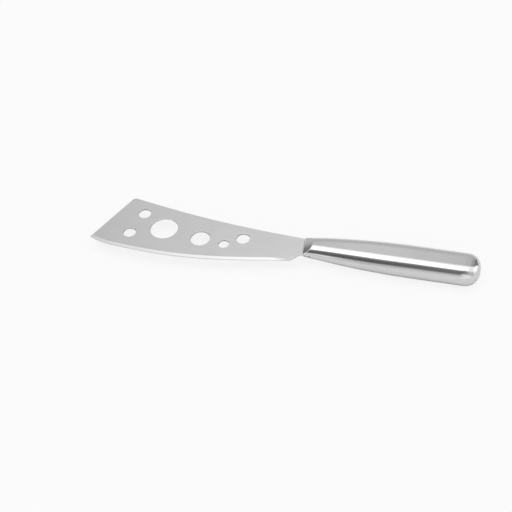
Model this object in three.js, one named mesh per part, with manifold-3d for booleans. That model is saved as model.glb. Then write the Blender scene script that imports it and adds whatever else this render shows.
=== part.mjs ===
import * as THREE from 'three';
import { mergeVertices } from 'three/addons/utils/BufferGeometryUtils.js';
import Module from 'manifold-3d';

// A cheese knife, all in stainless steel: a punched blade held between two welded handle shells.
// Millimetres. While it is built, X runs from the blade tip to the butt with the nose of the
// handle at 0, Y from the cutting edge to the spine with the handle axis at 0, and Z is up with
// the middle of the blade sheet at 0.

// Blade outline
const bladeReach = 125.9;
const tipDrop = 16.1;
const frontLean = THREE.MathUtils.degToRad(23.6);
const spineRise = 19.4;
const spineSlopeFront = -0.2;
const spineSlopeNose = -0.05;
const spineCornerCut = 2.4;
const tipSlope = -0.45;
const bellyBack = 103.2;
const bellyDrop = 20.5;
const bellySlope = -0.085;
const heelBack = 6.4;
const heelDrop = 12.2;
const heelSlope = 0.2;
const heelHook = 3.2;
const curveReach = 0.375;

// Blade sheet
const sheet = 1.2;
const deburr = 0.12;
const bevelWidth = 2;
const edgeLand = 0.24;
const bevelRunOut = 16;

// Holes that let the slice come off the blade, measured from the tip and from the handle axis
const holes = [
  { fromTip: 21.9, up: -8.6, bore: 7.5 },
  { fromTip: 25.8, up: 7.8, bore: 7.5 },
  { fromTip: 41.1, up: -1.7, bore: 16.5 },
  { fromTip: 64.6, up: -5.5, bore: 11.5 },
  { fromTip: 79.5, up: -7.3, bore: 6.3 },
  { fromTip: 89.4, up: -1, bore: 8 },
];

// Neck and tang
const neckDepth = 5;
const neckFlush = 0.15;
const tangReach = 54;
const tangHalf = 4;
const shoulderRadius = 1.2;
const notchRadius = 1.3;
const notchAt = [22, 38];

// Handle
const handleLength = 102.2;
const noseHalf = 6.3;
const noseRise = 4.05;
const buttHalf = 10.35;
const buttRise = 6.9;
const stripHalf = 3;
const swellLength = 64;
const noseShift = 0.4;
const noseShiftLength = 14;
const noseSkew = THREE.MathUtils.degToRad(7.5);
const endRoundPlan = 10;
const endRoundSide = 9;
const endFullnessPlan = 2.5;
const endFullnessSide = 3;
const endFlatHalf = 1.8;
const facetSlope = THREE.MathUtils.degToRad(27.5);
const noseLand = 1.2;
const wall = 0.8;
const noseWall = 1.2;

// Tang bedding
const fitGap = 0.3;
const beddingCover = 10;

// Fineness of the faceted surfaces
const ringPoints = 44;
const swellStations = 14;
const endStations = 9;
const holeSegments = 36;
const bellySteps = 14;
const edgeSteps = 40;
const heelSteps = 14;
const neckSteps = 4;
const spineSteps = 30;
const cornerSteps = 6;
const arcSteps = 5;

// Reach of the cutting tools past the part, and of the handle body past the nose before it is cut
const toolReach = 40;
const bodyLead = 2;

// Points closer than this are one point; outline corners that turn by more than this sine are sharp
const weldDistance = 1e-5;
const sharpTurn = 0.3;

const wasm = await Module();
wasm.setup();

const bladeSteel = new THREE.MeshStandardMaterial({ color: 0xcdcdcb, roughness: 0.38, metalness: 1 });
const shellSteel = new THREE.MeshStandardMaterial({ color: 0xc8cacc, roughness: 0.24, metalness: 1 });
const resin = new THREE.MeshStandardMaterial({ color: 0x8a857a, roughness: 0.8, metalness: 0 });

function toSolid(geometry) {
  const bare = new THREE.BufferGeometry();
  bare.setAttribute('position', geometry.getAttribute('position'));
  if (geometry.index) {
    bare.setIndex(geometry.index);
  }
  const welded = mergeVertices(bare, weldDistance);
  return new wasm.Manifold(new wasm.Mesh({
    numProp: 3,
    vertProperties: new Float32Array(welded.getAttribute('position').array),
    triVerts: new Uint32Array(welded.index.array),
  }));
}

function toPiece(name, solid, material) {
  const mesh = solid.getMesh();
  const geometry = new THREE.BufferGeometry();
  geometry.setAttribute('position', new THREE.BufferAttribute(mesh.vertProperties, 3));
  geometry.setIndex(new THREE.BufferAttribute(mesh.triVerts, 1));
  const piece = new THREE.Mesh(geometry, material);
  piece.name = name;
  return piece;
}

// Skins a closed body over rings of equal length; the first and last rings are closed flat.
function skin(rings, flatten) {
  const count = rings[0].length;
  const positions = rings.flat().flatMap((p) => [p.x, p.y, p.z]);
  const index = [];
  for (let i = 0; i + 1 < rings.length; i += 1) {
    for (let j = 0; j < count; j += 1) {
      const k = (j + 1) % count;
      const a = i * count + j;
      const b = i * count + k;
      const c = (i + 1) * count + k;
      const d = (i + 1) * count + j;
      index.push(a, b, c, a, c, d);
    }
  }
  const lastRing = rings.length - 1;
  for (const [a, b, c] of THREE.ShapeUtils.triangulateShape(rings[0].map(flatten), [])) {
    index.push(a, c, b);
  }
  for (const [a, b, c] of THREE.ShapeUtils.triangulateShape(rings[lastRing].map(flatten), [])) {
    index.push(lastRing * count + a, lastRing * count + b, lastRing * count + c);
  }
  const geometry = new THREE.BufferGeometry();
  geometry.setAttribute('position', new THREE.Float32BufferAttribute(positions, 3));
  geometry.setIndex(index);
  return toSolid(geometry);
}

function block(minX, maxX, minZ, maxZ) {
  const geometry = new THREE.BoxGeometry(maxX - minX, 2 * toolReach, maxZ - minZ);
  geometry.translate((minX + maxX) / 2, 0, (minZ + maxZ) / 2);
  return toSolid(geometry);
}

// Handle body: oval at the nose. By one law its width and height swell towards the butt and a flat
// strip opens along the top and the bottom, and the butt closes with a crowned, rounded end.
function swell(x) {
  const left = THREE.MathUtils.clamp(1 - x / swellLength, 0, 1);
  return 1 - left * left;
}

function halfWidth(x) {
  return THREE.MathUtils.lerp(noseHalf, buttHalf, swell(x));
}

function halfRise(x) {
  return THREE.MathUtils.lerp(noseRise, buttRise, swell(x));
}

// The nose lies a little to the cutting-edge side of the handle axis.
function middleLine(x) {
  const left = Math.max(0, 1 - x / noseShiftLength);
  return -noseShift * left * left;
}

// How far the body has closed at x on the way to its end, where a small flat is left at the crown.
function closing(x, end, length, fullness) {
  const along = Math.max(0, (x - end + length) / length);
  const flatShare = endFlatHalf / halfWidth(handleLength);
  return (1 - (1 - flatShare ** fullness) * along ** fullness) ** (1 / fullness);
}

function handleRing(x, inset) {
  const end = handleLength - inset;
  const half = (halfWidth(x) - inset) * closing(x, end, endRoundPlan, endFullnessPlan);
  const rise = (halfRise(x) - inset) * closing(x, end, endRoundSide, endFullnessSide);
  const strip = half * stripHalf * swell(x) / halfWidth(x);
  const ring = [];
  for (let j = 0; j < ringPoints; j += 1) {
    const turn = (j + 0.5) / ringPoints * 2 * Math.PI;
    const side = Math.sign(Math.cos(turn)) * strip;
    const y = middleLine(x) + side + (half - strip) * Math.cos(turn);
    ring.push(new THREE.Vector3(x, y, rise * Math.sin(turn)));
  }
  return ring;
}

function handleBody(inset, start, stop) {
  const end = handleLength - inset;
  const roundStart = Math.min(stop, end - endRoundPlan);
  const stations = [];
  for (let i = 0; i <= swellStations; i += 1) {
    stations.push(start + (roundStart - start) * i / swellStations);
  }
  if (stop > roundStart) {
    for (let i = 1; i <= endStations; i += 1) {
      stations.push(roundStart + endRoundPlan * Math.sin(i / endStations * Math.PI / 2));
    }
  }
  return skin(stations.map((x) => handleRing(x, inset)), (p) => new THREE.Vector2(p.y, p.z));
}

// What is ground off the nose: its skewed front face and the two facets that slope down to the blade.
// The cut starts at a distance behind the front face and lies a depth below the facets.
function noseCut(behind, below) {
  const steep = Math.tan(facetSlope);
  const foot = sheet / 2 + noseLand + behind * steep - below / Math.cos(facetSlope);
  const facetRun = (toolReach - foot) / steep;
  const profile = new THREE.Shape();
  profile.moveTo(-toolReach, -toolReach);
  profile.lineTo(behind + facetRun, -toolReach);
  profile.lineTo(behind, -foot);
  profile.lineTo(behind, foot);
  profile.lineTo(behind + facetRun, toolReach);
  profile.lineTo(-toolReach, toolReach);
  const geometry = new THREE.ExtrudeGeometry(profile, { depth: 2 * toolReach, bevelEnabled: false });
  geometry.translate(0, 0, -toolReach);
  geometry.rotateX(Math.PI / 2);
  geometry.rotateZ(noseSkew);
  return toSolid(geometry);
}

const outerBody = handleBody(0, -bodyLead, handleLength).subtract(noseCut(0, 0));
const hollow = handleBody(wall, -bodyLead, handleLength).subtract(noseCut(noseWall, wall));
const neckSlot = block(-toolReach, neckDepth + fitGap, -sheet / 2, sheet / 2);
const shells = outerBody.subtract(hollow).subtract(neckSlot);
const farEnd = handleLength + toolReach;
const upperShell = shells.subtract(block(-toolReach, farEnd, -toolReach, 0));
const lowerShell = shells.subtract(block(-toolReach, farEnd, 0, toolReach));

// Blade outline, counter-clockwise from the tip. A raked curve leaves one point at one slope and meets
// the next at another.
function raked(a, slopeA, b, slopeB) {
  const handle = (b.x - a.x) * curveReach;
  const nearA = new THREE.Vector2(a.x + handle, a.y + handle * slopeA);
  const nearB = new THREE.Vector2(b.x - handle, b.y - handle * slopeB);
  return new THREE.CubicBezierCurve(a, nearA, nearB, b);
}

// A point on the side of the neck, flush with the nose of the handle; along runs from 0 at the
// front face of the nose to 1 at the shoulder of the tang.
function neckPoint(along, side) {
  const front = -side * halfWidth(0) * Math.tan(noseSkew);
  const x = THREE.MathUtils.lerp(front, neckDepth, along);
  return new THREE.Vector2(x, middleLine(x) + side * (halfWidth(x) - neckFlush));
}

const tip = new THREE.Vector2(-bladeReach, -tipDrop);
const belly = new THREE.Vector2(-bellyBack, -bellyDrop);
const heel = new THREE.Vector2(-heelBack, -heelDrop);
const neckLow = neckPoint(0, -1);
const neckHigh = neckPoint(0, 1);
const frontRun = (spineRise + tipDrop) * Math.tan(frontLean);
const spineCorner = new THREE.Vector2(-bladeReach + frontRun, spineRise);
const spineEnd = new THREE.Vector2(spineCornerCut, spineCornerCut * spineSlopeFront).add(spineCorner);
const frontTop = tip.clone().sub(spineCorner).setLength(spineCornerCut).add(spineCorner);

const cuttingEdge = [
  ...raked(tip, tipSlope, belly, bellySlope).getPoints(bellySteps),
  ...raked(belly, bellySlope, heel, heelSlope).getPoints(edgeSteps).slice(1),
];
const heelCurve = new THREE.CubicBezierCurve(
  heel,
  new THREE.Vector2(heel.x + heelHook, heel.y + heelHook * heelSlope),
  new THREE.Vector2(neckLow.x - heelHook, neckLow.y),
  neckLow,
);

const neckStations = Array.from({ length: neckSteps }, (_, i) => (i + 1) / neckSteps);
const tang = new THREE.Path();
const shoulder = tangHalf + shoulderRadius;
tang.absarc(neckDepth + shoulderRadius, -shoulder, shoulderRadius, Math.PI, Math.PI / 2, true);
for (const x of notchAt) {
  tang.absarc(x, -tangHalf, notchRadius, Math.PI, 0, true);
}
tang.absarc(tangReach - tangHalf, 0, tangHalf, -Math.PI / 2, Math.PI / 2, false);
for (const x of notchAt.toReversed()) {
  tang.absarc(x, tangHalf, notchRadius, 0, -Math.PI, true);
}
tang.absarc(neckDepth + shoulderRadius, shoulder, shoulderRadius, -Math.PI / 2, -Math.PI, true);
const tangOutline = tang.getPoints(arcSteps);

const outline = [
  ...cuttingEdge,
  ...heelCurve.getPoints(heelSteps).slice(1),
  ...neckStations.map((along) => neckPoint(along, -1)),
  ...tangOutline,
  ...neckStations.toReversed().map((along) => neckPoint(along, 1)),
  ...raked(neckHigh, spineSlopeNose, spineEnd, spineSlopeFront).getPoints(spineSteps),
  ...new THREE.QuadraticBezierCurve(spineEnd, spineCorner, frontTop).getPoints(cornerSteps).slice(1),
];

// How much of the ground bevel is left at an outline point: all of it along the cutting edge, none
// at the heel and round the rest of the blade.
function grind(i) {
  if (i >= cuttingEdge.length) {
    return 0;
  }
  return THREE.MathUtils.smoothstep(heel.x - outline[i].x, 0, bevelRunOut);
}

function bevelInset(i) {
  return deburr + (bevelWidth - deburr) * Math.cbrt(grind(i));
}

// The outline point moved inward so that it keeps the bevel of both sides that meet there.
function insetPoint(i) {
  const here = outline[i];
  const before = outline[(i + outline.length - 1) % outline.length];
  const after = outline[(i + 1) % outline.length];
  const into = here.clone().sub(before).normalize();
  const out = after.clone().sub(here).normalize();
  const insetIn = i === 0 ? deburr : bevelInset(i);
  const insetOut = bevelInset(i);
  const normalIn = new THREE.Vector2(-into.y, into.x);
  const normalOut = new THREE.Vector2(-out.y, out.x);
  const turn = into.cross(out);
  if (Math.abs(turn) < sharpTurn) {
    return normalIn.add(normalOut).setLength(insetOut).add(here);
  }
  const alongOut = (insetIn - insetOut * normalIn.dot(normalOut)) / out.dot(normalIn);
  return normalOut.multiplyScalar(insetOut).add(out.multiplyScalar(alongOut)).add(here);
}

function edgeHalf(i) {
  return THREE.MathUtils.lerp(sheet / 2 - deburr, edgeLand / 2, grind(i));
}

const faceRing = outline.map((p, i) => insetPoint(i));
const bladeRings = [
  faceRing.map((p) => new THREE.Vector3(p.x, p.y, -sheet / 2)),
  outline.map((p, i) => new THREE.Vector3(p.x, p.y, -edgeHalf(i))),
  outline.map((p, i) => new THREE.Vector3(p.x, p.y, edgeHalf(i))),
  faceRing.map((p) => new THREE.Vector3(p.x, p.y, sheet / 2)),
];
let blade = skin(bladeRings, (p) => new THREE.Vector2(p.x, p.y));

// Each hole is punched through and broken at both rims.
for (const { fromTip, up, bore } of holes) {
  const rim = sheet / 2 - deburr;
  const flare = bore / 2 + sheet - rim;
  const punch = new THREE.LatheGeometry([
    new THREE.Vector2(0, -sheet),
    new THREE.Vector2(flare, -sheet),
    new THREE.Vector2(bore / 2, -rim),
    new THREE.Vector2(bore / 2, rim),
    new THREE.Vector2(flare, sheet),
    new THREE.Vector2(0, sheet),
  ], holeSegments);
  punch.rotateX(Math.PI / 2);
  punch.translate(tip.x + fromTip, up, 0);
  blade = blade.subtract(toSolid(punch));
}

// Bedding: the hollow's own form drawn in by the fit gap, with a pocket for the tang
const pocketShape = new THREE.Shape();
const pocketHalf = tangHalf + fitGap;
pocketShape.moveTo(0, -pocketHalf);
pocketShape.lineTo(tangReach - tangHalf, -pocketHalf);
pocketShape.absarc(tangReach - tangHalf, 0, pocketHalf, -Math.PI / 2, Math.PI / 2, false);
pocketShape.lineTo(0, pocketHalf);
const pocket = new THREE.ExtrudeGeometry(pocketShape, { depth: sheet + 2 * fitGap, bevelEnabled: false });
pocket.translate(0, 0, -sheet / 2 - fitGap);
const beddingStart = neckDepth + shoulderRadius + fitGap;
const bedding = handleBody(wall + fitGap, beddingStart, tangReach + beddingCover).subtract(toSolid(pocket));

const knife = new THREE.Group();
knife.name = 'cheese_knife';
knife.add(toPiece('blade', blade, bladeSteel));
knife.add(toPiece('handle_upper_shell', upperShell, shellSteel));
knife.add(toPiece('handle_lower_shell', lowerShell, shellSteel));
knife.add(toPiece('tang_bedding', bedding, resin));

// The part stands with the middle of its base at the origin.
const bounds = new THREE.Box3().setFromObject(knife);
const middle = bounds.getCenter(new THREE.Vector3());
knife.position.set(-middle.x, -middle.y, -bounds.min.z);

export default knife;
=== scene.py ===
import math

import bmesh
import bpy
from mathutils import Matrix, Vector
from mathutils.geometry import interpolate_bezier


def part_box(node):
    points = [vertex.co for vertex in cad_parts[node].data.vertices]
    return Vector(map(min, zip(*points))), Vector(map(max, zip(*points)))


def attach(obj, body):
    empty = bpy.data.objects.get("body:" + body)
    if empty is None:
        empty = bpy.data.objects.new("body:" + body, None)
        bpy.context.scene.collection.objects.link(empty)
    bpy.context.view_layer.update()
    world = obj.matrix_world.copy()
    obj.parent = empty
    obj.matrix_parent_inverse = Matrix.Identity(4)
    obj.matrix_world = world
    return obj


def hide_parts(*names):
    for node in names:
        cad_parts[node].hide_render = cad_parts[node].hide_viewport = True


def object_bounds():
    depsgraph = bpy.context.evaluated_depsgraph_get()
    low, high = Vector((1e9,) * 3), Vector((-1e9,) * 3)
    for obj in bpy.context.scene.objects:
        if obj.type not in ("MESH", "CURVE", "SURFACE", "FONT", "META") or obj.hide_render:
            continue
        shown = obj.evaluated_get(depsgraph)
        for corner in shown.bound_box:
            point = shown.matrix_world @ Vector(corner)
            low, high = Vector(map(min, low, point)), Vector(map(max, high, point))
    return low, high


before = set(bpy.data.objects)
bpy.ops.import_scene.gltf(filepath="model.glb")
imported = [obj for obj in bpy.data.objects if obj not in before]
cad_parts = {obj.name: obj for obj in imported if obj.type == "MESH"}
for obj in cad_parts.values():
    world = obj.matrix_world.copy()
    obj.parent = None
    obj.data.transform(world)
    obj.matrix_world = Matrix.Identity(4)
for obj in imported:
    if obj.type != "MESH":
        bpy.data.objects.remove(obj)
cad_low, cad_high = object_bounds()


# Blade: one sheet of hardened stainless steel, punched to its outline with the holes, neck and tang.
# The cutting edge is ground to a bevel from both faces, the other edges are deburred, and the faces
# are brushed lengthwise. Points are set out from the nose of the handle, at the middle of the sheet.
mm = 0.001
blade_low, blade_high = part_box("blade")
shell_low, shell_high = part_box("handle_upper_shell")

sheet = blade_high.z - blade_low.z
blade_reach = 125.9 * mm
tip_drop = 16.1 * mm
front_lean = math.radians(23.6)
spine_rise = 19.4 * mm
spine_slope_front = -0.2
spine_slope_nose = -0.05
spine_corner_cut = 2.4 * mm
tip_slope = -0.45
belly_back = 103.2 * mm
belly_drop = 20.5 * mm
belly_slope = -0.085
heel_back = 6.4 * mm
heel_drop = 12.2 * mm
heel_slope = 0.2
heel_hook = 3.2 * mm
curve_reach = 0.375

edge_round = 0.16 * mm
bevel_width = 1.8 * mm
tip_land = 0.8 * mm
heel_land = 0.3 * mm
bevel_run_out = 12 * mm

# Share of the grind from which the bevel keeps crisp edges, and the sine of a turn that is a corner
crisp_grind = 0.25
sharp_turn = 0.3

# Distance from the tip, height above the handle axis and bore of each hole
holes = [
    (21.9 * mm, -8.6 * mm, 7.5 * mm),
    (25.8 * mm, 7.8 * mm, 7.5 * mm),
    (41.1 * mm, -1.7 * mm, 16.5 * mm),
    (64.6 * mm, -5.5 * mm, 11.5 * mm),
    (79.5 * mm, -7.3 * mm, 6.3 * mm),
    (89.4 * mm, -1.0 * mm, 8.0 * mm),
]

neck_depth = 5 * mm
neck_flush = 0.15 * mm
tang_half = 4 * mm
shoulder_radius = 1.2 * mm
notch_radius = 1.3 * mm
notch_places = (22 * mm, 38 * mm)

tip_steps = 48
belly_steps = 160
hook_steps = 40
neck_steps = 8
shoulder_steps = 8
notch_steps = 12
tang_end_steps = 24
spine_steps = 120
corner_steps = 16
hole_segments = 96
round_steps = 4

nose = Vector((
    blade_low.x + blade_reach,
    (shell_low.y + shell_high.y) / 2,
    (blade_low.z + blade_high.z) / 2,
))
tang_reach = blade_high.x - nose.x

# The neck is as wide as the nose of the handle, so the handle's swell is set out here.
nose_half = 6.3 * mm
butt_half = (shell_high.y - shell_low.y) / 2
swell_length = 64 * mm
nose_shift = 0.4 * mm
nose_shift_length = 14 * mm
nose_skew = math.radians(7.5)


def lerp(a, b, share):
    return a + (b - a) * share


def swell(x):
    left = min(1, max(0, 1 - x / swell_length))
    return 1 - left ** 2


def half_width(x):
    return lerp(nose_half, butt_half, swell(x))


def middle_line(x):
    left = max(0, 1 - x / nose_shift_length)
    return -nose_shift * left ** 2


def bezier(start, leave, arrive, end, steps):
    """A curved stretch, up to but not at its end."""
    return interpolate_bezier(start, leave, arrive, end, steps + 1)[:-1]


def rounded_corner(start, corner, end, steps):
    """A corner rounded off between a point before it and a point after it."""
    return bezier(start, lerp(start, corner, 2 / 3), lerp(end, corner, 2 / 3), end, steps)


def raked(start, start_slope, end, end_slope, steps):
    """A stretch that leaves its start at one slope and meets its end at another."""
    reach = (end.x - start.x) * curve_reach
    leave = start + reach * Vector((1, start_slope))
    arrive = end - reach * Vector((1, end_slope))
    return bezier(start, leave, arrive, end, steps)


def arc(x, y, radius, first, last, steps):
    """A round stretch from the first angle to the last, in degrees."""
    turns = [math.radians(lerp(first, last, i / steps)) for i in range(steps + 1)]
    return [Vector((x + radius * math.cos(a), y + radius * math.sin(a))) for a in turns]


def neck_point(along, side):
    """A point on the side of the neck, from 0 at the front of the nose to 1 at the shoulder."""
    front = -side * half_width(0) * math.tan(nose_skew)
    x = lerp(front, neck_depth, along)
    return Vector((x, middle_line(x) + side * (half_width(x) - neck_flush)))


tip = Vector((-blade_reach, -tip_drop))
belly = Vector((-belly_back, -belly_drop))
heel = Vector((-heel_back, -heel_drop))
neck_low = neck_point(0, -1)
neck_high = neck_point(0, 1)
spine_corner = Vector((tip.x + (spine_rise + tip_drop) * math.tan(front_lean), spine_rise))
spine_end = spine_corner + spine_corner_cut * Vector((1, spine_slope_front))
front_top = spine_corner + spine_corner_cut * (tip - spine_corner).normalized()
shoulder = tang_half + shoulder_radius

cutting_edge = raked(tip, tip_slope, belly, belly_slope, tip_steps)
cutting_edge += raked(belly, belly_slope, heel, heel_slope, belly_steps)
hook_leave = heel + heel_hook * Vector((1, heel_slope))
hook_arrive = neck_low - Vector((heel_hook, 0))
outline = list(cutting_edge)
outline += bezier(heel, hook_leave, hook_arrive, neck_low, hook_steps)
outline += [neck_point(i / neck_steps, -1) for i in range(neck_steps + 1)]
outline += arc(neck_depth + shoulder_radius, -shoulder, shoulder_radius, 180, 90, shoulder_steps)
for x in notch_places:
    outline += arc(x, -tang_half, notch_radius, 180, 0, notch_steps)
outline += arc(tang_reach - tang_half, 0, tang_half, -90, 90, tang_end_steps)
for x in reversed(notch_places):
    outline += arc(x, tang_half, notch_radius, 0, -180, notch_steps)
outline += arc(neck_depth + shoulder_radius, shoulder, shoulder_radius, -90, -180, shoulder_steps)
outline += [neck_point(1 - i / neck_steps, 1) for i in range(neck_steps)]
outline += raked(neck_high, spine_slope_nose, spine_end, spine_slope_front, spine_steps)
outline += rounded_corner(spine_end, spine_corner, front_top, corner_steps)
outline.append(front_top)


def grind(i):
    """How much of the bevel is ground at an outline point: it runs out before the heel."""
    if i >= len(cutting_edge):
        return 0
    share = min(1, max(0, (heel.x - outline[i].x) / bevel_run_out))
    return share * share * (3 - 2 * share)


def edge_land(i):
    """Thickness left at the cutting edge, which is ground deeper towards the heel."""
    share = (outline[i].x - tip.x) / blade_reach
    return lerp(tip_land, heel_land, share * share)


def bevel_inset(i):
    """Width of the bevel at an outline point, or of the rounding where nothing is ground."""
    return lerp(edge_round, bevel_width, grind(i) ** (1 / 3))


def inset_step(i):
    """From an outline point to the border of the flat face."""
    here = outline[i]
    into = (here - outline[i - 1]).normalized()
    out = (outline[(i + 1) % len(outline)] - here).normalized()
    normal_in = Vector((-into.y, into.x))
    normal_out = Vector((-out.y, out.x))
    inset = bevel_inset(i)
    if abs(into.cross(out)) < sharp_turn:
        return (normal_in + normal_out).normalized() * inset
    inset_before = edge_round if i == 0 else inset
    along = (inset_before - inset * normal_in.dot(normal_out)) / out.dot(normal_in)
    return normal_out * inset + out * along


def rounding(step):
    """Share of the inset and of the fall at one step of a quarter round."""
    turn = step / round_steps * math.pi / 2
    return 1 - math.sin(turn), 1 - math.cos(turn)


def edge_ring(step, side):
    """The outline at one step from the face to the edge, on the upper or the lower side."""
    ring = []
    round_inset, round_fall = rounding(step)
    flat_fall = step / round_steps
    for i, point in enumerate(outline):
        ground = grind(i)
        edge_half = lerp(sheet / 2 - edge_round, edge_land(i) / 2, ground)
        inset = lerp(round_inset, 1 - flat_fall, ground)
        fall = lerp(round_fall, flat_fall, ground)
        place = point + inset_step(i) * inset
        ring.append(Vector((place.x, place.y, side * lerp(sheet / 2, edge_half, fall))))
    return ring


def hole_ring(hole, step, side):
    """A hole's wall at one step from the face to the bore."""
    from_tip, up, bore = hole
    inset, fall = rounding(step)
    radius = bore / 2 + edge_round * inset
    height = side * (sheet / 2 - edge_round * fall)
    middle = tip.x + from_tip
    turns = [i / hole_segments * 2 * math.pi for i in range(hole_segments)]
    return [Vector((middle + radius * math.cos(a), up + radius * math.sin(a), height)) for a in turns]


def ring_edges(bm, ring):
    return [bm.edges.get((a, b)) for a, b in zip(ring, ring[1:] + ring[:1])]


def wall_between(bm, rings):
    """Skins a stack of closed rings of points and returns the rings of vertices."""
    stack = [[bm.verts.new(point) for point in ring] for ring in rings]
    for lower, upper in zip(stack, stack[1:]):
        for a, b, c, d in zip(lower, lower[1:] + lower[:1], upper[1:] + upper[:1], upper):
            bm.faces.new((a, b, c, d))
    return stack


def finished_mesh(bm, name):
    """Turns the faces outward, shades them smooth and sets the mesh in its place."""
    bmesh.ops.recalc_face_normals(bm, faces=bm.faces[:])
    for face in bm.faces:
        face.smooth = True
    bm.transform(Matrix.Translation(nose))
    mesh = bpy.data.meshes.new(name)
    bm.to_mesh(mesh)
    bm.free()
    piece = bpy.data.objects.new(name, mesh)
    bpy.context.scene.collection.objects.link(piece)
    weighted = piece.modifiers.new("weighted normals", "WEIGHTED_NORMAL")
    weighted.keep_sharp = True
    return piece


steps_down = [(step, 1) for step in range(round_steps + 1)]
steps_down += [(step, -1) for step in reversed(range(round_steps + 1))]
blade_mesh = bmesh.new()
edge_stack = wall_between(blade_mesh, [edge_ring(step, side) for step, side in steps_down])
hole_stacks = []
for hole in holes:
    hole_rings = [hole_ring(hole, step, side) for step, side in steps_down]
    hole_stacks.append(wall_between(blade_mesh, hole_rings))
for layer in (0, -1):
    rims = ring_edges(blade_mesh, edge_stack[layer])
    for stack in hole_stacks:
        rims += ring_edges(blade_mesh, stack[layer])
    bmesh.ops.triangle_fill(blade_mesh, edges=rims, use_beauty=True)
for layer in (0, round_steps, round_steps + 1, -1):
    for i, edge in enumerate(ring_edges(blade_mesh, edge_stack[layer])):
        edge.smooth = grind(i) < crisp_grind
blade = finished_mesh(blade_mesh, "punched_blade")

# The grain of the brushing has a length, a width and a depth.
blade_colour = (0.8, 0.8, 0.798, 1)
blade_grain = (30 * mm, 0.4 * mm, 0.006 * mm)
tip_roughness = 0.1
neck_roughness = 0.44


def add_node(tree, kind, **settings):
    node = tree.nodes.new(kind)
    for name, value in settings.items():
        setattr(node, name, value)
    return node


def brushed_grain_group():
    """Scratches of a brushing belt along X, with a roughness at each end, under a cloud of handling."""
    noise_low = 0.3
    noise_high = 0.7
    cloud_scale = 70
    cloud_share = 0.3
    tree = bpy.data.node_groups.new("brushed_grain", "ShaderNodeTree")
    sockets = [
        ("Colour", "INPUT", "NodeSocketColor"),
        ("Grain Length", "INPUT", "NodeSocketFloat"),
        ("Grain Width", "INPUT", "NodeSocketFloat"),
        ("Front", "INPUT", "NodeSocketFloat"),
        ("Back", "INPUT", "NodeSocketFloat"),
        ("Front Roughness", "INPUT", "NodeSocketFloat"),
        ("Back Roughness", "INPUT", "NodeSocketFloat"),
        ("Colour", "OUTPUT", "NodeSocketColor"),
        ("Roughness", "OUTPUT", "NodeSocketFloat"),
        ("Height", "OUTPUT", "NodeSocketFloat"),
    ]
    for name, way, kind in sockets:
        tree.interface.new_socket(name, in_out=way, socket_type=kind)
    inputs = add_node(tree, "NodeGroupInput").outputs
    outputs = add_node(tree, "NodeGroupOutput").inputs
    place = add_node(tree, "ShaderNodeTexCoord").outputs["Object"]

    stretch = add_node(tree, "ShaderNodeCombineXYZ")
    tree.links.new(inputs["Grain Length"], stretch.inputs["X"])
    tree.links.new(inputs["Grain Width"], stretch.inputs["Y"])
    tree.links.new(inputs["Grain Width"], stretch.inputs["Z"])
    along = add_node(tree, "ShaderNodeVectorMath", operation="DIVIDE")
    tree.links.new(place, along.inputs[0])
    tree.links.new(stretch.outputs[0], along.inputs[1])

    scratches = add_node(tree, "ShaderNodeTexNoise")
    scratches.inputs["Scale"].default_value = 1
    scratches.inputs["Detail"].default_value = 4
    scratches.inputs["Roughness"].default_value = 0.65
    tree.links.new(along.outputs[0], scratches.inputs["Vector"])
    cloud = add_node(tree, "ShaderNodeTexNoise")
    cloud.inputs["Scale"].default_value = cloud_scale
    cloud.inputs["Detail"].default_value = 3
    tree.links.new(place, cloud.inputs["Vector"])

    both = add_node(tree, "ShaderNodeMix", data_type="FLOAT")
    both.inputs["Factor"].default_value = cloud_share
    tree.links.new(scratches.outputs["Fac"], both.inputs["A"])
    tree.links.new(cloud.outputs["Fac"], both.inputs["B"])
    axes = add_node(tree, "ShaderNodeSeparateXYZ")
    tree.links.new(place, axes.inputs[0])
    belt = add_node(tree, "ShaderNodeMapRange")
    tree.links.new(axes.outputs["X"], belt.inputs["Value"])
    tree.links.new(inputs["Front"], belt.inputs["From Min"])
    tree.links.new(inputs["Back"], belt.inputs["From Max"])
    tree.links.new(inputs["Front Roughness"], belt.inputs["To Min"])
    tree.links.new(inputs["Back Roughness"], belt.inputs["To Max"])
    streaks = add_node(tree, "ShaderNodeMapRange")
    streaks.inputs["From Min"].default_value = noise_low
    streaks.inputs["From Max"].default_value = noise_high
    streaks.inputs["To Min"].default_value = 0.85
    streaks.inputs["To Max"].default_value = 1.15
    tree.links.new(both.outputs["Result"], streaks.inputs["Value"])
    roughness = add_node(tree, "ShaderNodeMath", operation="MULTIPLY")
    tree.links.new(belt.outputs["Result"], roughness.inputs[0])
    tree.links.new(streaks.outputs["Result"], roughness.inputs[1])

    brightness = add_node(tree, "ShaderNodeMapRange")
    brightness.inputs["From Min"].default_value = noise_low
    brightness.inputs["From Max"].default_value = noise_high
    brightness.inputs["To Min"].default_value = 0.95
    brightness.inputs["To Max"].default_value = 1.03
    tree.links.new(both.outputs["Result"], brightness.inputs["Value"])
    colour = add_node(tree, "ShaderNodeVectorMath", operation="SCALE")
    tree.links.new(inputs["Colour"], colour.inputs[0])
    tree.links.new(brightness.outputs["Result"], colour.inputs["Scale"])

    tree.links.new(colour.outputs[0], outputs["Colour"])
    tree.links.new(roughness.outputs[0], outputs["Roughness"])
    tree.links.new(scratches.outputs["Fac"], outputs["Height"])
    return tree


brushed_grain = brushed_grain_group()


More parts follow.
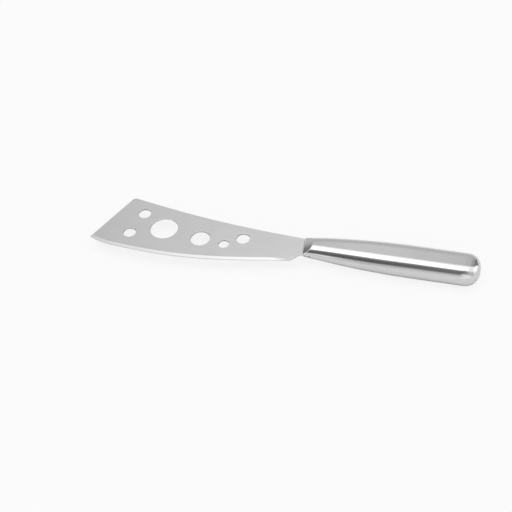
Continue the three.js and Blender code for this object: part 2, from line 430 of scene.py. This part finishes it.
def brushed_steel(name, colour, grain_size, front, back):
    """Bare stainless steel, brushed lengthwise. Each end has its place along X and its roughness."""
    grain_length, grain_width, grain_depth = grain_size
    front_place, front_roughness = front
    back_place, back_roughness = back
    material = bpy.data.materials.new(name)
    material.use_nodes = True
    tree = material.node_tree
    shader = tree.nodes["Principled BSDF"]
    shader.inputs["Metallic"].default_value = 1
    grain = add_node(tree, "ShaderNodeGroup", node_tree=brushed_grain)
    grain.inputs["Colour"].default_value = colour
    grain.inputs["Grain Length"].default_value = grain_length
    grain.inputs["Grain Width"].default_value = grain_width
    grain.inputs["Front"].default_value = front_place
    grain.inputs["Back"].default_value = back_place
    grain.inputs["Front Roughness"].default_value = front_roughness
    grain.inputs["Back Roughness"].default_value = back_roughness
    bump = add_node(tree, "ShaderNodeBump")
    bump.inputs["Distance"].default_value = grain_depth
    tree.links.new(grain.outputs["Height"], bump.inputs["Height"])
    tree.links.new(grain.outputs["Colour"], shader.inputs["Base Color"])
    tree.links.new(grain.outputs["Roughness"], shader.inputs["Roughness"])
    tree.links.new(bump.outputs["Normal"], shader.inputs["Normal"])
    return material


blade_front = (blade_low.x, tip_roughness)
blade_back = (nose.x, neck_roughness)
blade_steel = brushed_steel("blade_steel", blade_colour, blade_grain, blade_front, blade_back)
blade.data.materials.append(blade_steel)
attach(blade, "root")
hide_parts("blade")


# Tang bedding: hard resin cast round the tang in the front of the hollow handle. It is sealed in, so
# the construction's own solid stays and only takes the look of a filled, slightly cloudy resin.
resin_dark = (0.2, 0.185, 0.155, 1)
resin_pale = (0.31, 0.29, 0.25, 1)
resin_cloud = 180

resin = bpy.data.materials.new("bedding_resin")
resin.use_nodes = True
resin_tree = resin.node_tree
resin_shader = resin_tree.nodes["Principled BSDF"]
resin_noise = add_node(resin_tree, "ShaderNodeTexNoise")
resin_noise.inputs["Scale"].default_value = resin_cloud
resin_place = add_node(resin_tree, "ShaderNodeTexCoord")
resin_ramp = add_node(resin_tree, "ShaderNodeValToRGB")
resin_ramp.color_ramp.elements[0].color = resin_dark
resin_ramp.color_ramp.elements[1].color = resin_pale
resin_shader.inputs["Roughness"].default_value = 0.7
resin_tree.links.new(resin_place.outputs["Object"], resin_noise.inputs["Vector"])
resin_tree.links.new(resin_noise.outputs["Fac"], resin_ramp.inputs["Fac"])
resin_tree.links.new(resin_ramp.outputs["Color"], resin_shader.inputs["Base Color"])
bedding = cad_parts["tang_bedding"]
bedding.data.materials.clear()
bedding.data.materials.append(resin)


# Handle shells: two halves pressed from thin stainless sheet and welded along the mid-plane of the
# blade, then ground flush and brushed almost to a polish. The section is oval at the nose and swells
# to the butt, where a flat strip opens along the crown. A facet is ground where the nose meets the blade.
handle_length = shell_high.x - nose.x
nose_rise = 4.05 * mm
butt_rise = shell_high.z - nose.z
strip_half = 3 * mm
strip_end_gap = 1.7 * mm
strip_end_length = 5.3 * mm
strip_end_fullness = 2
end_round_plan = 10 * mm
end_round_side = 9 * mm
end_fullness_plan = 2.5
end_fullness_side = 3
facet_slope = math.radians(27.5)
nose_land = 0.35 * mm
nose_land_inside = 0.95 * mm
facet_round = 0.4 * mm
facet_crown = 0.8 * mm
wall = 0.8 * mm
nose_wall = 1.2 * mm
slot_half = sheet / 2
slot_gap = 0.3 * mm
slot_end = neck_depth + slot_gap
facet_reach = 7.5 * mm
nose_end = 10 * mm
search_lead = 3 * mm
search_halvings = 40
weld_distance = 0.001 * mm

side_lines = 4
arc_lines = 28
strip_lines = 8
facet_steps = 5
fillet_steps = 6
nose_steps = 10
collar_steps = 6
body_steps = 70
butt_steps = 36

# Each line runs along the shell from the nose to the butt. It is given by its place across the flat
# strip and its share of the way up the round side, which is under 0 below the top of the neck slot.
side_shares = [i / side_lines - 1 for i in range(side_lines)]
arc_shares = [i / arc_lines for i in range(arc_lines)]
shell_lines = [(1, share) for share in side_shares + arc_shares]
shell_lines += [(1 - 2 * i / strip_lines, 1) for i in range(strip_lines)]
shell_lines += [(-1, 1)]
shell_lines += [(-1, share) for share in reversed(side_shares + arc_shares)]


def half_rise(x):
    return lerp(nose_rise, butt_rise, swell(x))


def closing(x, end, length, fullness):
    along = min(1, max(0, (x - end + length) / length))
    return (1 - along ** fullness) ** (1 / fullness)


def shell_point(x, line, inset):
    """A point of the upper shell's skin on one line; the inset is 0 outside and the wall inside."""
    across, share = line
    end = handle_length - inset
    half = (half_width(x) - inset) * closing(x, end, end_round_plan, end_fullness_plan)
    rise = (half_rise(x) - inset) * closing(x, end, end_round_side, end_fullness_side)
    strip_end = closing(x, end - strip_end_gap, strip_end_length, strip_end_fullness)
    strip = strip_half * swell(x) * strip_end
    low = math.asin(slot_half / (half_rise(min(x, slot_end)) - inset))
    turn = lerp(low, math.pi / 2, share) if share >= 0 else low * (1 + share)
    round_part = math.copysign(half - strip, across) * math.cos(turn)
    return Vector((x, middle_line(x) + across * strip + round_part, rise * math.sin(turn)))


def behind_nose(point):
    """How far a point lies behind the skewed front face of the nose."""
    return point.x * math.cos(nose_skew) + point.y * math.sin(nose_skew)


def first_x(line, inset, within):
    """Where a line comes out of what is ground off the nose."""
    low, high = -search_lead, facet_reach
    for _ in range(search_halvings):
        middle = (low + high) / 2
        if within(shell_point(middle, line, inset)):
            high = middle
        else:
            low = middle
    return high


def shell_line(line, inset):
    """All points of one line: up the front face, up the facet, and along the skin to the butt."""
    share = line[1]
    front = nose_wall if inset else 0
    land = nose_land_inside if inset else nose_land
    crown = 0 if inset else facet_crown
    foot = slot_half + land + front * math.tan(facet_slope) - inset / math.cos(facet_slope)
    round_start = handle_length - inset - end_round_plan

    def past_front(point):
        return behind_nose(point) > front

    def facet_height(point):
        rise = crown * (1 - (point.y / nose_half) ** 2)
        return foot + rise + (behind_nose(point) - front) * math.tan(facet_slope)

    def past_facet(point):
        return past_front(point) and point.z < facet_height(point)

    def along_skin(first, last, steps):
        return [shell_point(lerp(first, last, i / steps), line, inset) for i in range(steps)]

    if share < 0:
        even_start = slot_end
        path = [None] * (1 + facet_steps + fillet_steps + nose_steps)
    else:
        even_start = lerp(slot_end, facet_reach, share)
        at_front = shell_point(first_x(line, inset, past_front), line, inset)
        facet_foot = Vector((at_front.x, at_front.y, min(facet_height(at_front), at_front.z)))
        facet_top = shell_point(first_x(line, inset, past_facet), line, inset)
        down = facet_foot - facet_top
        blend = min(facet_round, down.length / 2)
        before = facet_top + down.normalized() * blend
        after = shell_point(facet_top.x + blend, line, inset)
        path = [Vector((at_front.x, at_front.y, slot_half))]
        path += [lerp(facet_foot, before, i / facet_steps) for i in range(facet_steps)]
        path += rounded_corner(before, facet_top, after, fillet_steps)
        path += along_skin(after.x, even_start, nose_steps)
    path += along_skin(even_start, nose_end, collar_steps)
    path += along_skin(nose_end, round_start, body_steps)
    for i in range(butt_steps + 1):
        along = math.sin(i / butt_steps * math.pi / 2) ** (2 / end_fullness_plan)
        path.append(shell_point(round_start + along * end_round_plan, line, inset))
    return path


def skin(bm, inset, side):
    """One skin of a shell, as a grid of lines, with gaps where the neck slot is."""
    grid = []
    for line in shell_lines:
        points = shell_line(line, inset)
        grid.append([p and bm.verts.new((p.x, p.y, side * p.z)) for p in points])
    for left, right in zip(grid, grid[1:]):
        for a, b, c, d in zip(left, left[1:], right[1:], right):
            if a and b and c and d:
                bm.faces.new((a, b, c, d))
    return grid


def shell_half(name, side):
    """A closed shell: the outer and the inner skin, joined along their rims."""
    bm = bmesh.new()
    outer = skin(bm, 0, side)
    rims = [edge for edge in bm.edges if edge.is_boundary]
    inner = skin(bm, wall, side)
    across_wall = {}
    for outer_line, inner_line in zip(outer, inner):
        across_wall.update(zip(outer_line, inner_line))
    for edge in rims:
        a, b = edge.verts
        edge.smooth = False
        if a.co != b.co:
            bm.faces.new((a, b, across_wall[b], across_wall[a]))
    bmesh.ops.remove_doubles(bm, verts=bm.verts[:], dist=weld_distance)
    return finished_mesh(bm, name)


shell_colour = (0.76, 0.76, 0.76, 1)
shell_grain = (60 * mm, 0.5 * mm, 0.004 * mm)
shell_roughness = 0.16
shell_front = (nose.x, shell_roughness)
shell_back = (shell_high.x, shell_roughness)
shell_steel = brushed_steel("handle_steel", shell_colour, shell_grain, shell_front, shell_back)
for name, side in (("upper_shell", 1), ("lower_shell", -1)):
    shell = shell_half(name, side)
    shell.data.materials.append(shell_steel)
    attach(shell, "root")
    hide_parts("handle_" + name)


# Studio: a pale floor under the knife, and round it a tent of one grey level. Softboxes and panels make
# parts of the tent white, and dark flags stand where the handle mirrors a dark band. The camera looks
# down on the knife from the side of the cutting edge.
floor_half = 6.0
floor_colour = (0.95, 0.95, 0.95, 1)

# Share of plain white in the floor as the camera sees it; the rest keeps the shadow of the knife.
seen_white = 0.84

floor_bm = bmesh.new()
bmesh.ops.create_grid(floor_bm, x_segments=4, y_segments=4, size=floor_half)
floor_mesh = bpy.data.meshes.new("floor")
floor_bm.to_mesh(floor_mesh)
floor_bm.free()
floor = bpy.data.objects.new("floor", floor_mesh)
bpy.context.scene.collection.objects.link(floor)
floor.location.z = cad_low.z
floor_paint = bpy.data.materials.new("floor_paint")
floor_paint.use_nodes = True
floor_tree = floor_paint.node_tree
floor_shader = floor_tree.nodes["Principled BSDF"]
floor_shader.inputs["Base Color"].default_value = floor_colour
floor_shader.inputs["Roughness"].default_value = 0.9
floor_shader.inputs["Specular IOR Level"].default_value = 0
light_path = add_node(floor_tree, "ShaderNodeLightPath").outputs
shown = add_node(floor_tree, "ShaderNodeMath", operation="MULTIPLY")
shown.inputs[1].default_value = seen_white
floor_tree.links.new(light_path["Is Camera Ray"], shown.inputs[0])
white = add_node(floor_tree, "ShaderNodeEmission")
lit = add_node(floor_tree, "ShaderNodeMixShader")
floor_tree.links.new(shown.outputs[0], lit.inputs[0])
floor_tree.links.new(floor_shader.outputs[0], lit.inputs[1])
floor_tree.links.new(white.outputs[0], lit.inputs[2])
floor_tree.links.new(lit.outputs[0], floor_tree.nodes["Material Output"].inputs["Surface"])
floor.data.materials.append(floor_paint)

camera_azimuth = math.radians(22.34)
camera_elevation = math.radians(45.63)
camera_roll = math.radians(-8.14)
camera_distance = 1.0312
camera_aim = Vector((-13.46 * mm, -11.26 * mm, 6.88 * mm))
camera_lens = 126.5625


def direction(azimuth, elevation):
    """Unit step from the knife towards a bearing, turned from the cutting-edge side towards the butt."""
    level = math.cos(elevation)
    return Vector((level * math.sin(azimuth), -level * math.cos(azimuth), math.sin(elevation)))


# Each patch of the tent has a bearing from the camera and an elevation, the angles from its middle at
# which it is full and at which it ends, and a brightness. A later patch covers the earlier ones.
tent_level = 0.56
patches = [
    # Softbox overhead, fill along the horizon in front, grey backdrop behind with a paler place on it
    (-29, 76, 30, 56, 1.38),
    (0, -5, 22, 45, 1.0),
    (180, -5, 15, 50, 0.57),
    (178, 44, 1, 8, 0.74),
    # Two panels on the right, and a small softbox high on the left that lights the floor
    (86, 48, 20, 36, 1.08),
    (88, 10, 14, 28, 1.4),
    (-115, 75, 6, 18, 2.0),
    # Flag that the facet at the nose mirrors
    (-125, 12, 10, 28, 0.1),
    # Row of flags from right to left, for the dark band along the handle
    (24, 42, 8, 24, 0.58),
    (-6, 54, 9, 22, 0.34),
    (-32, 62, 8, 17, 0.19),
    (-70, 55, 6, 13, 0.2),
    (-49, 40, 9, 22, 0.1),
    # White card below that row, for the side of the handle near the nose
    (-62, 15, 8, 17, 1.9),
    # Shade behind on the right, for the rounded end of the butt
    (130, 40, 4, 18, 0.38),
    (120, 28, 4, 13, 0.22),
    (120, 8, 5, 18, 0.02),
]

world = bpy.data.worlds.new("light_tent")
world.use_nodes = True
bpy.context.scene.world = world
sky = world.node_tree
outward = add_node(sky, "ShaderNodeTexCoord").outputs["Generated"]
tent = None
for bearing, elevation, inner, outer, brightness in patches:
    middle = direction(camera_azimuth + math.radians(bearing), math.radians(elevation))
    facing = add_node(sky, "ShaderNodeVectorMath", operation="DOT_PRODUCT")
    facing.inputs[1].default_value = middle
    sky.links.new(outward, facing.inputs[0])
    patch = add_node(sky, "ShaderNodeMapRange", interpolation_type="SMOOTHSTEP")
    patch.inputs["From Min"].default_value = math.cos(math.radians(outer))
    patch.inputs["From Max"].default_value = math.cos(math.radians(inner))
    sky.links.new(facing.outputs["Value"], patch.inputs["Value"])
    mixed = add_node(sky, "ShaderNodeMix", data_type="FLOAT")
    mixed.inputs["A"].default_value = tent_level
    mixed.inputs["B"].default_value = brightness
    sky.links.new(patch.outputs["Result"], mixed.inputs["Factor"])
    if tent:
        sky.links.new(tent, mixed.inputs["A"])
    tent = mixed.outputs["Result"]
sky.links.new(tent, sky.nodes["Background"].inputs["Color"])

camera_data = bpy.data.cameras.new("camera")
camera_data.lens = camera_lens
camera_data.clip_start = 0.01
camera = bpy.data.objects.new("camera", camera_data)
bpy.context.scene.collection.objects.link(camera)
towards_camera = direction(camera_azimuth, camera_elevation)
camera.location = camera_aim + towards_camera * camera_distance
upright = (-towards_camera).to_track_quat("-Z", "Y").to_matrix()
camera.rotation_euler = (upright @ Matrix.Rotation(camera_roll, 3, "Z")).to_euler()
bpy.context.scene.camera = camera
bpy.context.scene.view_settings.view_transform = "Standard"
